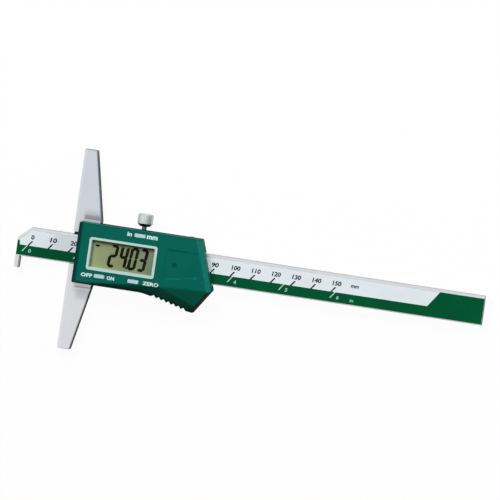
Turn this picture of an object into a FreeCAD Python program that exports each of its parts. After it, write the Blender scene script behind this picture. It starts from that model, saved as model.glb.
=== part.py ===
"""Electronic depth gauge with a hook end, lying on its back with the display up.

Millimetres. The origin is the centre of the base's measuring face, on the
beam's centre line. +X runs along the beam, away from the work; +Y runs
across it, towards the lock screw; +Z points out of the display.
"""
import FreeCAD, Part
import math
import os

V = FreeCAD.Vector

# ---------------------------------------------------------------- base bar
base_length = 97.5          # along Y
base_thick = 7.0            # the arms, along Z
base_tip_depth = 6.0        # along X, at the ends of the arms
base_root_depth = 12.9      # along X, at the middle
base_root_half = 15.3       # the middle stretch reaches this far each way
base_corner = 0.6           # rounded corners of the arms' ends
face_bevel_x = 1.2          # bevels beside the measuring face
face_bevel_z = 0.8
arm_edge = 0.3              # broken front edges of the arms

# raised pad in the middle of the base, under the housing's left end
pad_height = 2.0
pad_top = 15.4              # reach towards +Y
pad_bottom = 17.4           # reach towards -Y

# ---------------------------------------------------------------- beam
reading = 24.03             # hook to measuring face, as the display says
beam_length = 230.5
beam_width = 14.5
beam_thick = 3.5
beam_edge = 0.3             # broken front edges
tip_cut_x = 6.3             # cut-off corner at the tip
tip_cut_y = 5.7
hook_thick = 2.5            # along X
hook_reach = 5.8            # below the beam's edge
hook_relief = 0.4           # round relief in the hook's inner corner

# printed scale, in a groove of the beam's front that is open at both ends
strip_top = 1.45            # bare steel above the scale
strip_bottom = 0.45         # bare steel below it
scale_end_gap = 0.1         # between the scale and the ends of the beam
scale_corner_gap = 1.2      # bare steel along the cut-off corner
scale_board_thick = 0.8
label_thick = 0.12
label_sunk = 0.03           # the label lies this far below the beam's front
inlay_gap = 0.05

# ---------------------------------------------------------------- slider frame
channel_floor = 2.6         # wall behind the beam
slide_gap = 0.05            # sliding clearance of the beam
gib_space = 1.2             # from the beam's top edge to the upper rail
frame_end = 60.6            # right end of the rails
frame_top = 12.5
frame_bottom = 14.2
frame_corner = 1.0

gib_thick = 1.1
gib_height = 3.0
gib_start = 15.0
gib_end = 59.4

gib_screw_r = 1.0
gib_screw_xs = (19.8, 57.7)
gib_screw_tops = (-0.6, 0.3)    # outer ends, measured from the housing's upper side
thread_gap = 0.04           # radial clearance of every screw in its hole
slot_width = 0.4
slot_depth = 0.5

lock_x = 33.8
lock_shank_r = 1.15
lock_head_r = 3.75
lock_head_gap = 1.7         # bare neck between housing and head
lock_head_height = 6.0
lock_low_chamfer = 1.4
lock_top_chamfer = 0.6
knurl_count = 32
knurl_depth = 0.28

# thin steel plates that keep the beam in its channel
keeper_thick = 0.8
keeper_gap = 0.1            # in front of the beam
keeper_margin = 1.3         # from a screw's centre to the plate's edge
keeper_screw_r = 0.8
keeper_screw_head_r = 1.25
keeper_screw_head = 0.65
keeper_screw_length = 2.6
front_keeper_width = 4.7
front_keeper_inset = 0.2    # from the base's right side
front_keeper_top = 10.7     # screw places, across the beam
front_keeper_bottom = -10.8
rear_keeper_start = 52.0
rear_keeper_end = 60.0
rear_keeper_top = (54.6, 10.5)
rear_keeper_bottom = (54.6, -9.2)

# ---------------------------------------------------------------- housing
housing_height = 15.6       # front of the housing above the frame's back
housing_wall = 1.4          # front wall
left_wall = 1.2
side_wall = 1.2             # upper and lower walls
housing_left = 3.4
housing_top = 14.0
housing_bottom = 15.8
top_right_x = 63.3
nose = (71.6, -9.9)         # pointed right corner
heel = (63.3, -22.2)        # lowest corner, end of the thumb rest
thumb_start = (37.5, -15.95)
tooth_first = (44.9, -17.65)
tooth_last = (59.9, -21.8)
tooth_count = 7
tooth_depth = 1.4
corner_round = 0.9          # upright corners
point_round = 0.4           # upright corners at nose and heel
thumb_bend_r = 20.0         # soft bend where the thumb rest starts
skirt_clear = 2.6           # lower edge of the walls above the frame's back
skirt_gap = 0.3             # between walls and the frame's or base's sides
beam_window_gap = 0.35      # around the beam at the right end
left_round = 2.2
top_round = 1.2
lower_round = 1.5
facet_width = 1.9
facet_drop = 3.4

# slopes of the front towards the thumb rest and the lower edge
slope_pivot = (43.3, -11.2)     # where the upper lines of both kinds meet
slope_right_y = -9.8            # where the gentle slope's upper line meets the right side
slope_angle = 26.0              # degrees
slope_bend_r = 2.5              # soft bend along the upper line
rest_left = (18.3, -13.6)       # left end of the steeper slope above the lower edge
rest_top = (43.3, -10.6)        # upper line of the steeper slope above the teeth
rest_right = (63.3, -13.7)
rest_angle = 42.0               # degrees
rest_bend_r = 1.2
rim_width = 0.7                 # steep rim of the slopes
rim_tooth_width = 1.1
rim_angle = 66.0                # degrees
rim_bend_r = 0.3

boss_r = 1.6
housing_screw_r = 0.8
housing_screw_head_r = 1.5
housing_screw_head = 1.1
housing_screw_sunk = 0.3
housing_screw_bite = 5.0    # length inside the boss
housing_screws_at = ((6.6, 11.3), (6.6, -12.9), (48.0, 10.5), (57.9, -12.2))

# ---------------------------------------------------------------- display
bezel_left = 9.75
bezel_bottom = -8.45
bezel_width = 33.6
bezel_height = 15.9
bezel_ring = 1.5
bezel_corner = 1.3
bezel_proud = 0.2
bezel_flange = 0.5
bezel_flange_thick = 0.6
window_thick = 1.0
window_sunk = 0.3           # below the bezel's front
window_seat = 0.35
window_gap = 0.05
panel_thick = 1.8
panel_margin = 0.35         # the panel is larger than the opening
holder_wall = 0.8
holder_ledge = 1.0
fit_gap = 0.1               # loose fit of plastic pieces
strip_thick = 1.2           # rubber connector strips

# ---------------------------------------------------------------- circuit board
board_gap = 0.1             # from the base's right side
board_end = 46.0
board_thick = 0.8
board_inset = 0.2           # inside the frame's outline
board_screw_inset = 2.4     # left screw, from the base's right side
board_screw_top = 10.4
board_screw_right = (43.4, -12.2)
board_screw_r = 0.7
board_screw_head_r = 1.2
board_screw_head = 0.6
board_screw_length = 2.2
chip_size = 7.5
chip_height = 1.2

# ---------------------------------------------------------------- buttons
button_height = 1.85        # across the beam
button_proud = 0.4
button_travel = 0.4
button_gap = 0.1
button_flange = 0.3
button_flange_thick = 0.6
button_corner = 0.4
stem_long = 1.8
stem_wide = 0.9
contact_long = 3.6
contact_wide = 1.8
contact_thick = 0.35
on_off_inset = 3.95         # from the base's right side to the button's centre
on_off_button_at = (base_root_depth + on_off_inset, -11.05, 5.2)    # centre X, centre Y, length
zero_button_at = (33.6, -11.05, 5.4)
unit_button_at = (33.9, 11.4, 5.5)

# ---------------------------------------------------------------- battery
battery_r = 5.8
battery_height = 5.4
battery_cap_r = 4.9
battery_step = 0.7
battery_x = 53.9
battery_gap = 0.15          # around the battery in its tray
tray_wall = 0.5
tray_floor = 0.5
contact_leaf = 0.2
leaf_width = 2.6
leaf_foot = 2.5             # length on the board

# battery lid, which slides out to the right
lid_left = 47.7
lid_top = 6.8
lid_bottom = -6.25
lid_gap = 0.05
lid_rail_out = 0.6          # rails stand out sideways
lid_rail_in = 0.6
lid_rail_thick = 0.6
lid_plate_clear = 0.3       # above the battery
lid_groove_gap = 0.08
lid_ledge = 0.8             # ledge under the rails
lid_guide_width = 2.2
lid_thick_end = 61.0        # the lid is full thickness right of here
lid_sunk = 0.15             # below the front
lid_edge_bevel = 0.35       # on the housing, along the lid's lower side
dimple_at = (52.5, -0.65)
dimple_r = 4.0
dimple_depth = 0.35

# ---------------------------------------------------------------- back plate
back_plate_thick = 0.35
back_plate_start = 17.0
back_plate_end = 57.0
back_plate_half = 7.2
back_plate_corner = 1.5
back_plate_sunk = 0.05

# ---------------------------------------------------------------- derived
back_z = -base_thick / 2
arm_z = base_thick / 2
pad_z = arm_z + pad_height
floor_z = back_z + channel_floor
beam_z0 = floor_z + slide_gap
beam_z1 = beam_z0 + beam_thick
beam_mid_z = (beam_z0 + beam_z1) / 2
rail_z = beam_z1 + keeper_gap
board_z = rail_z + board_thick
keeper_z = rail_z + keeper_thick
front_z = back_z + housing_height
wall_z = front_z - housing_wall
skirt_z = back_z + skirt_clear

beam_half = beam_width / 2
tip_x = -reading - hook_thick
beam_end = tip_x + beam_length
label_top = beam_half - strip_top
label_bottom = -beam_half + strip_bottom
pocket_z = beam_z1 - label_sunk - label_thick - scale_board_thick

rail_top_y = beam_half + gib_space          # lower side of the upper rail
rail_bottom_y = -beam_half - slide_gap      # upper side of the lower rail

front_keeper_end = base_root_depth - front_keeper_inset
front_keeper_start = front_keeper_end - front_keeper_width
board_start = base_root_depth + board_gap
board_screws_at = ((base_root_depth + board_screw_inset, board_screw_top), board_screw_right)

bezel_right = bezel_left + bezel_width
bezel_top = bezel_bottom + bezel_height
bezel_z = front_z + bezel_proud
flange_z = wall_z - bezel_flange_thick
panel_z1 = flange_z
panel_z0 = panel_z1 - panel_thick

battery_y = (lid_top + lid_bottom) / 2
tray_z0 = keeper_z
leaf_z = tray_z0 + tray_floor
battery_z = leaf_z + contact_leaf + fit_gap / 2
lid_plate_z = battery_z + battery_height + lid_plate_clear
lid_rail_z = lid_plate_z - lid_rail_thick
tray_z1 = lid_rail_z - fit_gap
lid_half = (lid_top - lid_bottom) / 2

cavity_left = housing_left + left_wall
cavity_right = frame_end + skirt_gap
cavity_top = housing_top - side_wall
cavity_bottom = -housing_bottom + side_wall

FAR = 400.0                 # reach of cutting tools that go right through


# ---------------------------------------------------------------- helpers
def box(x0, x1, y0, y1, z0, z1):
    return Part.makeBox(x1 - x0, y1 - y0, z1 - z0, V(x0, y0, z0))


def prism(points, z0, z1):
    corners = [V(x, y, z0) for x, y in points]
    face = Part.Face(Part.makePolygon(corners + corners[:1]))
    return face.extrude(V(0, 0, z1 - z0))


def rod_z(x, y, r, z0, z1):
    return Part.makeCylinder(r, z1 - z0, V(x, y, z0), V(0, 0, 1))


def rod_y(x, z, r, y0, y1):
    return Part.makeCylinder(r, y1 - y0, V(x, y0, z), V(0, 1, 0))


def round_upright(solid, places, r):
    """Round the upright edges that stand at the given (x, y) places."""
    def is_at(edge, place):
        a, b = edge.Vertexes[0].Point, edge.Vertexes[-1].Point
        upright = abs(a.x - b.x) < 1e-6 and abs(a.y - b.y) < 1e-6
        return upright and abs(a.x - place[0]) < 1e-6 and abs(a.y - place[1]) < 1e-6
    edges = [e for e in solid.Edges for p in places if is_at(e, p)]
    return solid.makeFillet(r, edges)


def rounded_box(x0, x1, y0, y1, z0, z1, r):
    corners = [(x0, y0), (x1, y0), (x1, y1), (x0, y1)]
    return round_upright(box(x0, x1, y0, y1, z0, z1), corners, r)


def along_line(p, q, outward, profile, before=FAR, after=FAR):
    """Extrude a profile of (distance outward, z) along the line p to q and past both ends."""
    line = V(q[0] - p[0], q[1] - p[1], 0)
    run = V(line).normalize()
    start = V(p[0], p[1], 0) - run * before
    out = V(outward[0], outward[1], 0)
    edges = []
    for piece in profile:
        pts = [start + out * t + V(0, 0, z) for t, z in piece]
        if len(pts) == 3:
            edges.append(Part.Arc(*pts).toShape())
        else:
            edges.append(Part.makeLine(*pts))
    return Part.Face(Part.Wire(edges)).extrude(run * (before + line.Length + after))


def outward_normal(p, q):
    """Normal of the line p to q, on its right-hand side."""
    length = math.hypot(q[0] - p[0], q[1] - p[1])
    return ((q[1] - p[1]) / length, -(q[0] - p[0]) / length)


def edge_round(p, q, r, top, before=FAR, after=FAR):
    """Tool that rounds over the front edge p to q of a prism, seen with its outside on the right."""
    s = r * (1 - math.sqrt(0.5))
    profile = [[(1, top - r), (0, top - r)],
               [(0, top - r), (-s, top - s), (-r, top)],
               [(-r, top), (-r, top + 1)],
               [(-r, top + 1), (1, top + 1)],
               [(1, top + 1), (1, top - r)]]
    return along_line(p, q, outward_normal(p, q), profile, before, after)


def slope_off(p, q, bend_r, angle, depth=0.0, before=FAR, after=FAR):
    """Tool that lets the front fall away beyond the line p to q: a bend, then a flat slope.

    At a depth below the front it keeps that distance from the slope.
    """
    half, full = math.radians(angle / 2), math.radians(angle)
    reach = FAR / 10
    start, top = depth * math.tan(half), front_z - depth
    t, z = start + bend_r * math.sin(full), top - bend_r * (1 - math.cos(full))
    low = z - (reach - t) * math.tan(full)
    middle = (start + bend_r * math.sin(half), top - bend_r * (1 - math.cos(half)))
    profile = [[(start, top), middle, (t, z)],
               [(t, z), (reach, low)],
               [(reach, low), (reach, front_z + 1)],
               [(reach, front_z + 1), (start, front_z + 1)],
               [(start, front_z + 1), (start, top)]]
    return along_line(p, q, outward_normal(p, q), profile, before, after)


def slope_drop(x, y, p, q, bend_r, angle):
    """How far that slope lies below the front at (x, y)."""
    out = outward_normal(p, q)
    t = (x - p[0]) * out[0] + (y - p[1]) * out[1]
    full = math.radians(angle)
    if t <= 0:
        return 0.0
    if t < bend_r * math.sin(full):
        return bend_r - math.sqrt(bend_r ** 2 - t ** 2)
    return bend_r * (1 - math.cos(full)) + (t - bend_r * math.sin(full)) * math.tan(full)


def facet_tool(p, q, width, drop, top):
    """Tool that bevels the front edge p to q by a flat facet."""
    slope = drop / width
    profile = [[(1, top - drop - slope), (-width, top)],
               [(-width, top), (-width, top + 1)],
               [(-width, top + 1), (1, top + 1)],
               [(1, top + 1), (1, top - drop - slope)]]
    return along_line(p, q, outward_normal(p, q), profile)


def screw_down(x, y, top, r, head_r, head, length):
    """Pan-head screw with a cross slot that goes down from the level top."""
    shank = rod_z(x, y, r, top - length, top)
    cap = rod_z(x, y, head_r, top, top + head)
    cap = cap.makeFillet(head * 0.45, [e for e in cap.Edges if abs(e.BoundBox.ZMin - top - head) < 1e-6])
    screw = shank.fuse(cap)
    arm = head_r * 0.6
    half = slot_width / 2
    depth = head * 0.5
    cross = box(x - arm, x + arm, y - half, y + half, top + head - depth, top + head)
    cross = cross.fuse(box(x - half, x + half, y - arm, y + arm, top + head - depth, top + head))
    return screw.cut(cross).removeSplitter()


# ---------------------------------------------------------------- base and frame
def base_bar():
    half = base_length / 2
    points = [(0, -half), (base_tip_depth, -half), (base_root_depth, -base_root_half),
              (base_root_depth, base_root_half), (base_tip_depth, half), (0, half)]
    bar = prism(points, back_z, arm_z)
    bar = round_upright(bar, [points[1], points[4]], base_corner)
    front = [e for e in bar.Edges
             if abs(e.BoundBox.ZMin - arm_z) < 1e-6 and e.BoundBox.XMin > face_bevel_x]
    bar = bar.makeChamfer(arm_edge, front)
    for level, into in ((arm_z, -1), (back_z, 1)):
        corners = [V(0, -half, level), V(face_bevel_x, -half, level),
                   V(0, -half, level + into * face_bevel_z)]
        wedge = Part.Face(Part.makePolygon(corners + corners[:1])).extrude(V(0, base_length, 0))
        bar = bar.cut(wedge)
    return bar


def pad():
    """Raised middle of the base, with a cove of its own height at both sides."""
    r = pad_height
    s = r * math.sqrt(0.5)
    x = cavity_left
    y1, y0 = pad_top, -pad_bottom
    low = arm_z - arm_edge
    edges = [Part.makeLine(V(x, y0 - r, low), V(x, y0 - r, arm_z)),
             Part.Arc(V(x, y0 - r, arm_z), V(x, y0 - r + s, pad_z - s), V(x, y0, pad_z)).toShape(),
             Part.makeLine(V(x, y0, pad_z), V(x, y1, pad_z)),
             Part.Arc(V(x, y1, pad_z), V(x, y1 + r - s, pad_z - s), V(x, y1 + r, arm_z)).toShape(),
             Part.makeLine(V(x, y1 + r, arm_z), V(x, y1 + r, low)),
             Part.makeLine(V(x, y1 + r, low), V(x, y0 - r, low))]
    return Part.Face(Part.Wire(edges)).extrude(V(base_root_depth - x, 0, 0))


def pad_limit():
    """Plan of the base, which trims the pad."""
    half = base_length / 2
    points = [(0, -half), (base_tip_depth, -half), (base_root_depth, -base_root_half),
              (base_root_depth, base_root_half), (base_tip_depth, half), (0, half)]
    return prism(points, back_z, pad_z + 1)


def keeper_recess():
    y0 = front_keeper_bottom - keeper_margin - fit_gap
    y1 = front_keeper_top + keeper_margin + fit_gap
    return box(front_keeper_start - fit_gap, base_root_depth + fit_gap, y0, y1, rail_z, pad_z + 1)


def make_base_frame():
    rails = box(cavity_left, frame_end, -frame_bottom, frame_top, back_z, rail_z)
    rails = round_upright(rails, [(frame_end, -frame_bottom), (frame_end, frame_top)], frame_corner)
    frame = base_bar().fuse(pad().common(pad_limit())).fuse(rails)
    cuts = [box(-1, frame_end + 1, rail_bottom_y, rail_top_y, floor_z, pad_z + 1), keeper_recess()]
    for x in gib_screw_xs:
        cuts.append(rod_y(x, beam_mid_z, gib_screw_r + thread_gap, rail_top_y - 1, frame_top + 1))
    cuts.append(rod_y(lock_x, beam_mid_z, lock_shank_r + thread_gap, rail_top_y - 1, frame_top + 1))
    head_space = housing_screw_head + housing_screw_sunk
    for x, y in housing_screws_at:
        cuts.append(rod_z(x, y, housing_screw_r + thread_gap, back_z - 1, pad_z + 1))
        cuts.append(rod_z(x, y, housing_screw_head_r + fit_gap, back_z - 1, back_z + head_space))
    for x, y in keeper_screw_places():
        cuts.append(rod_z(x, y, keeper_screw_r + thread_gap, keeper_screw_floor(), rail_z + 1))
    for x, y in board_screws_at:
        cuts.append(rod_z(x, y, board_screw_r + thread_gap, board_screw_floor(), rail_z + 1))
    plate_depth = back_plate_thick + back_plate_sunk
    cuts.append(rounded_box(back_plate_start - fit_gap, back_plate_end + fit_gap,
                            -back_plate_half - fit_gap, back_plate_half + fit_gap,
                            back_z - 1, back_z + plate_depth, back_plate_corner))
    return frame.cut(cuts).removeSplitter()


def make_back_plate():
    z0 = back_z + back_plate_sunk
    return rounded_box(back_plate_start, back_plate_end, -back_plate_half, back_plate_half,
                       z0, z0 + back_plate_thick, back_plate_corner)


# ---------------------------------------------------------------- beam
def scale_outline(gap, end_gap):
    """Outline of the scale's groove, drawn in by gap at its sides and by end_gap at the beam's ends."""
    left = tip_x + end_gap
    right = beam_end - end_gap
    top = label_top - gap
    bottom = label_bottom + gap
    slope = tip_cut_y / tip_cut_x
    shift = (scale_corner_gap + gap) * math.hypot(tip_cut_x, tip_cut_y) / tip_cut_x
    corner_y = beam_half - tip_cut_y - shift + (left - tip_x) * slope
    corner_x = left + (top - corner_y) / slope
    return [(left, bottom), (right, bottom), (right, top), (corner_x, top), (left, corner_y)]


def make_beam():
    inner = tip_x + hook_thick
    hook_y = -beam_half - hook_reach
    points = [(tip_x, -beam_half), (beam_end, -beam_half), (beam_end, beam_half),
              (tip_x + tip_cut_x, beam_half), (tip_x, beam_half - tip_cut_y)]
    bar = prism(points, beam_z0, beam_z1)
    long_front = [e for e in bar.Edges
                  if abs(e.BoundBox.ZMin - beam_z1) < 1e-6 and e.BoundBox.XLength > beam_length / 2]
    bar = bar.makeChamfer(beam_edge, long_front)
    hook = box(tip_x, inner, hook_y, -beam_half + beam_edge, beam_z0, beam_z1)
    hook = round_upright(hook, [(tip_x, hook_y), (inner, hook_y)], hook_relief)
    relief = rod_z(inner, -beam_half, hook_relief, beam_z0 - 1, beam_z1 + 1)
    pocket = prism(scale_outline(0, -1), pocket_z, beam_z1 + 1)
    return bar.fuse(hook).cut([relief, pocket]).removeSplitter()


def make_scale_board():
    return prism(scale_outline(inlay_gap, scale_end_gap), pocket_z, pocket_z + scale_board_thick)


def make_scale_label():
    z0 = pocket_z + scale_board_thick
    return prism(scale_outline(inlay_gap, scale_end_gap), z0, z0 + label_thick)


# ---------------------------------------------------------------- gib and screws
def make_gib():
    y0 = beam_half + slide_gap
    half = gib_height / 2
    return box(gib_start, gib_end, y0, y0 + gib_thick, beam_mid_z - half, beam_mid_z + half)


def make_gib_screws():
    """Slotted grub screws that set the gib's play."""
    screws = []
    y0 = beam_half + slide_gap + gib_thick
    for x, top in zip(gib_screw_xs, gib_screw_tops):
        y1 = housing_top + top
        screw = rod_y(x, beam_mid_z, gib_screw_r, y0, y1)
        half = slot_width / 2
        slot = box(x - FAR, x + FAR, y1 - slot_depth, y1 + 1, beam_mid_z - half, beam_mid_z + half)
        screws.append(screw.cut(slot))
    return Part.makeCompound(screws)


def make_lock_screw():
    """Knurled thumb screw that clamps the gib on the beam."""
    y0 = beam_half + slide_gap + gib_thick
    y1 = housing_top + lock_head_gap
    y2 = y1 + lock_low_chamfer
    y4 = y1 + lock_head_height
    y3 = y4 - lock_top_chamfer
    r = lock_head_r
    profile = [(0, y0), (lock_shank_r, y0), (lock_shank_r, y1), (r - lock_low_chamfer, y1),
               (r, y2), (r, y3), (r - lock_top_chamfer, y4), (0, y4)]
    points = [V(lock_x + d, y, beam_mid_z) for d, y in profile]
    face = Part.Face(Part.makePolygon(points + points[:1]))
    screw = face.revolve(V(lock_x, 0, beam_mid_z), V(0, 1, 0), 360)
    half = math.pi * r / knurl_count * 0.7
    grooves = []
    for i in range(knurl_count):
        corners = [V(lock_x + r - knurl_depth, y2, beam_mid_z), V(lock_x + r + 0.2, y2, beam_mid_z - half),
                   V(lock_x + r + 0.2, y2, beam_mid_z + half)]
        groove = Part.Face(Part.makePolygon(corners + corners[:1])).extrude(V(0, y3 - y2, 0))
        groove.rotate(V(lock_x, 0, beam_mid_z), V(0, 1, 0), 360.0 * i / knurl_count)
        grooves.append(groove)
    return screw.cut(grooves)


def keeper_screw_floor():
    return keeper_z - keeper_screw_length - fit_gap


def front_keeper_screws():
    x = (front_keeper_start + front_keeper_end) / 2
    return [(x, front_keeper_top), (x, front_keeper_bottom)]


def rear_keeper_screws():
    return [rear_keeper_top, rear_keeper_bottom]


def keeper_screw_places():
    return front_keeper_screws() + rear_keeper_screws()


def keeper(x0, x1, places):
    y0 = min(y for x, y in places) - keeper_margin
    y1 = max(y for x, y in places) + keeper_margin
    plate = box(x0, x1, y0, y1, rail_z, keeper_z)
    holes = [rod_z(x, y, keeper_screw_r + thread_gap, rail_z - 1, keeper_z + 1) for x, y in places]
    return plate.cut(holes)


def make_front_keeper():
    return keeper(front_keeper_start, front_keeper_end, front_keeper_screws())


def make_rear_keeper():
    return keeper(rear_keeper_start, rear_keeper_end, rear_keeper_screws())


def make_keeper_screws():
    return Part.makeCompound([screw_down(x, y, keeper_z, keeper_screw_r, keeper_screw_head_r,
                                         keeper_screw_head, keeper_screw_length)
                              for x, y in keeper_screw_places()])


# ---------------------------------------------------------------- housing
def housing_corners():
    """Plan of the housing, anticlockwise from its lower left corner."""
    run = (tooth_last[0] - tooth_first[0], tooth_last[1] - tooth_first[1])
    half_pitch = 0.5 / (tooth_count - 1)
    rest_start = (tooth_first[0] - run[0] * half_pitch, tooth_first[1] - run[1] * half_pitch)
    return [(housing_left, -housing_bottom), thumb_start, rest_start, tooth_last, heel, nose,
            (top_right_x, housing_top), (housing_left, housing_top)]


def tooth_grooves():
    """V grooves between the teeth of the thumb rest."""
    dx = (tooth_last[0] - tooth_first[0]) / (tooth_count - 1)
    dy = (tooth_last[1] - tooth_first[1]) / (tooth_count - 1)
    pitch = math.hypot(dx, dy)
    ux, uy = dx / pitch, dy / pitch
    out = 0.2
    flare = pitch / 2 * (1 + out / tooth_depth)
    tools = []
    for i in range(tooth_count):
        cx = tooth_first[0] + dx * (i - 0.5)
        cy = tooth_first[1] + dy * (i - 0.5)
        points = [(cx - uy * tooth_depth, cy + ux * tooth_depth),
                  (cx - ux * flare + uy * out, cy - uy * flare - ux * out),
                  (cx + ux * flare + uy * out, cy + uy * flare - ux * out)]
        tools.append(prism(points, skirt_z - 1, front_z + 1))
    return tools


def slopes():
    """Upper line, bend and angle of the gentle slope and of the two steeper ones."""
    return [(slope_pivot, (nose[0], slope_right_y), slope_bend_r, slope_angle),
            (rest_left, slope_pivot, rest_bend_r, rest_angle),
            (rest_top, rest_right, rest_bend_r, rest_angle)]


def slope_tool(depth=0.0):
    """Tool for the front's slopes, at a depth below the front."""
    gentle, left, right = slopes()
    steep = slope_off(*left, depth).common(slope_off(*right, depth))
    return slope_off(*gentle, depth, before=0).fuse(steep)


def front_drop(x, y):
    gentle, left, right = [slope_drop(x, y, *slope) for slope in slopes()]
    return max(gentle, min(left, right))


def rim_tools():
    """Tools for the steep rim around the slopes, from the lower left corner to the nose."""
    lower_left, bend, rest_start, last, low, point = housing_corners()[:6]
    tools = []
    for p, q, width, before, after in ((lower_left, bend, rim_width, FAR, 0),
                                       (bend, rest_start, rim_tooth_width, 0, 0),
                                       (rest_start, last, rim_tooth_width, 0, FAR),
                                       (low, point, rim_width, FAR, FAR)):
        out = outward_normal(p, q)
        line = []
        for x, y in (p, q):
            drop = front_drop(x - out[0] * width, y - out[1] * width)
            inset = width + drop / math.tan(math.radians(rim_angle))
            line.append((x - out[0] * inset, y - out[1] * inset))
        tools.append(slope_off(*line, rim_bend_r, rim_angle, 0.0, before, after))
    return tools


def housing_outer():
    """Full outer form of the housing, before it is hollowed."""
    corners = housing_corners()
    lower_left, bend, rest_start, last, low, point, upper_right, upper_left = corners
    form = prism(corners, skirt_z, front_z)
    form = round_upright(form, [lower_left, upper_right, upper_left], corner_round)
    form = round_upright(form, [low, point], point_round)
    form = round_upright(form, [bend], thumb_bend_r)
    tools = [edge_round(upper_left, lower_left, left_round, front_z),
             edge_round(upper_right, upper_left, top_round, front_z),
             edge_round(lower_left, bend, lower_round, front_z, after=0),
             slope_tool(),
             facet_tool(point, upper_right, facet_width, facet_drop, front_z)]
    return form.cut(tools).cut(rim_tools()).cut(tooth_grooves())


def lid_guides():
    """Blocks inside the front wall that carry the lid's rails."""
    blocks = []
    for side in (-1, 1):
        y0 = battery_y + side * (lid_half + fit_gap)
        y1 = y0 + side * lid_guide_width
        blocks.append(box(lid_left, cavity_right + fit_gap, min(y0, y1), max(y0, y1),
                          lid_rail_z - lid_ledge, wall_z + fit_gap))
    return blocks


def button_places():
    return [on_off_button_at, zero_button_at, unit_button_at]


def button_hole(x, y, length):
    half_x = length / 2 + button_gap
    half_y = button_height / 2 + button_gap
    return rounded_box(x - half_x, x + half_x, y - half_y, y + half_y,
                       wall_z - 1, front_z + 1, button_corner)


def make_housing_cover():
    cover = housing_outer()
    bosses = [rod_z(x, y, boss_r, boss_floor(x), wall_z + fit_gap) for x, y in housing_screws_at]
    cavity = box(cavity_left, cavity_right, cavity_bottom, cavity_top, skirt_z - 1, wall_z)
    cuts = [cavity.cut(slope_tool(housing_wall)).cut(bosses),
            box(housing_left - 1, cavity_left, -FAR, FAR, skirt_z - 1, arm_z),
            box(cavity_left - 1, base_root_depth + skirt_gap, -FAR, FAR, skirt_z - 1, pad_z)]
    low_wall = box(housing_left - 1, cavity_left, -FAR, FAR, arm_z, pad_z)
    cuts[2] = cuts[2].cut(low_wall)
    window = beam_half + beam_window_gap
    cuts.append(box(cavity_right - 1, FAR, -window, window, skirt_z - 1, beam_z1 + beam_window_gap))
    cover = cover.cut(cuts).fuse(lid_guides())
    holes = [button_hole(*place) for place in button_places()]
    holes.append(rounded_box(bezel_left - fit_gap, bezel_right + fit_gap, bezel_bottom - fit_gap,
                             bezel_top + fit_gap, wall_z - 1, front_z + 1, bezel_corner))
    holes.append(box(lid_left, FAR, lid_bottom, lid_top, lid_rail_z - fit_gap, front_z + 1))
    bevel = [[(-lid_edge_bevel, front_z), (0, front_z - lid_edge_bevel)],
             [(0, front_z - lid_edge_bevel), (0, front_z + 1)],
             [(0, front_z + 1), (-lid_edge_bevel, front_z + 1)],
             [(-lid_edge_bevel, front_z + 1), (-lid_edge_bevel, front_z)]]
    holes.append(along_line((lid_left, lid_bottom), (top_right_x, lid_bottom), (0, 1), bevel, before=0))
    groove = lid_half + lid_rail_out
    holes.append(box(lid_left, FAR, battery_y - groove, battery_y + groove,
                     lid_rail_z - lid_groove_gap, lid_plate_z + lid_groove_gap))
    for x, y in housing_screws_at:
        top = boss_floor(x) + housing_screw_bite + fit_gap
        holes.append(rod_z(x, y, housing_screw_r + thread_gap, skirt_z - 1, top))
    for x in gib_screw_xs:
        holes.append(rod_y(x, beam_mid_z, gib_screw_r + fit_gap, cavity_top - 1, housing_top + 1))
    holes.append(rod_y(lock_x, beam_mid_z, lock_shank_r + skirt_gap, cavity_top - 1, housing_top + 1))
    return cover.cut(holes).removeSplitter()


def boss_floor(x):
    """A boss stands on the pad or on the rails."""
    return pad_z if x < front_keeper_start else rail_z


def make_housing_screws():
    """Pan-head screws, put in from behind."""
    screws = []
    for x, y in housing_screws_at:
        seat = back_z + housing_screw_sunk + housing_screw_head
        length = boss_floor(x) + housing_screw_bite - seat
        screw = screw_down(x, y, 0, housing_screw_r, housing_screw_head_r, housing_screw_head, length)
        screw.rotate(V(x, y, 0), V(1, 0, 0), 180)
        screw.translate(V(0, 0, seat))
        screws.append(screw)
    return Part.makeCompound(screws)


# ---------------------------------------------------------------- display
def make_lcd_bezel():
    front = rounded_box(bezel_left, bezel_right, bezel_bottom, bezel_top,
                        wall_z - bezel_flange_thick, bezel_z, bezel_corner)
    flange = box(bezel_left - bezel_flange, bezel_right + bezel_flange, bezel_bottom - bezel_flange,
                 bezel_top + bezel_flange, flange_z, wall_z)
    ring = bezel_ring
    opening = rounded_box(bezel_left + ring, bezel_right - ring, bezel_bottom + ring,
                          bezel_top - ring, flange_z - 1, bezel_z + 1, window_seat)
    seat = ring - window_seat
    step = rounded_box(bezel_left + seat, bezel_right - seat, bezel_bottom + seat, bezel_top - seat,
                       bezel_z - window_sunk - window_thick, bezel_z + 1, window_seat * 2)
    return front.fuse(flange).cut([opening, step]).removeSplitter()


def make_lcd_window():
    inset = bezel_ring - window_seat + window_gap
    z1 = bezel_z - window_sunk
    return rounded_box(bezel_left + inset, bezel_right - inset, bezel_bottom + inset,
                       bezel_top - inset, z1 - window_thick, z1, window_seat * 2)


def panel_limits(grow):
    inset = bezel_ring - panel_margin - grow
    return (bezel_left + inset, bezel_right - inset, bezel_bottom + inset, bezel_top - inset)


def make_lcd_panel():
    return box(*panel_limits(0), panel_z0, panel_z1)


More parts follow.
